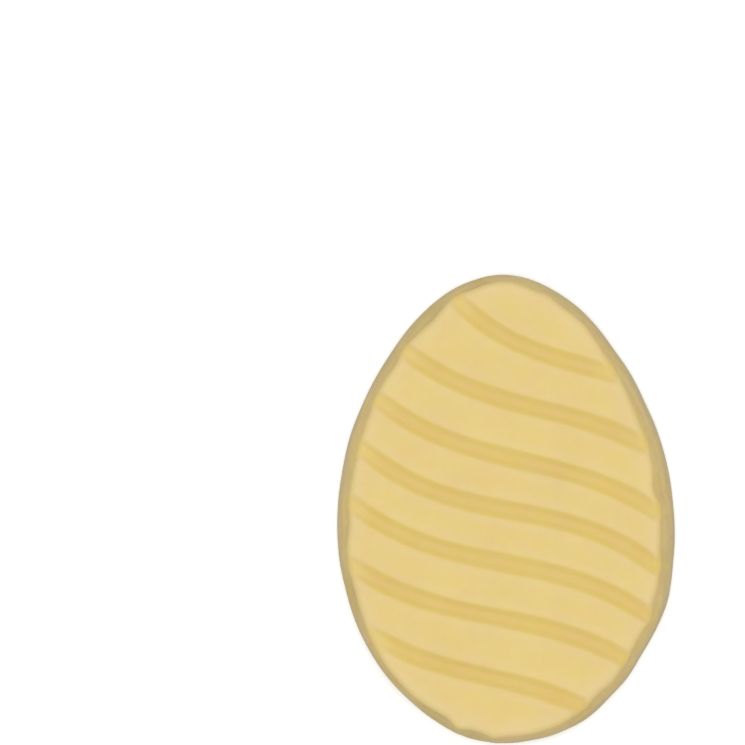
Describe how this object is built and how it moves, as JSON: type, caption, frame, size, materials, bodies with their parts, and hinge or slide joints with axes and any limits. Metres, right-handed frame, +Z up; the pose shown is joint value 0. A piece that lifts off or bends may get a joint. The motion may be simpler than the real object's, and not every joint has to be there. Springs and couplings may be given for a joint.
{
  "type": "chocolate egg",
  "caption": "Flat egg-shaped tablet of white chocolate with wavy grooves slanting across its face, a leaning side wall and a plain flat back.",
  "frame": {"origin": "middle of the flat back that the tablet rests on", "axes": "+Z up through the thickness, out of the grooved face; +Y along the length towards the narrow end; +X across the width"},
  "size_m": [0.0468, 0.065, 0.006],
  "materials": {
    "white_chocolate": "satin ivory yellow, smooth from the mould"
  },
  "bodies": {
    "root": {"chocolate_egg": "white_chocolate"}
  },
  "joints": []
}
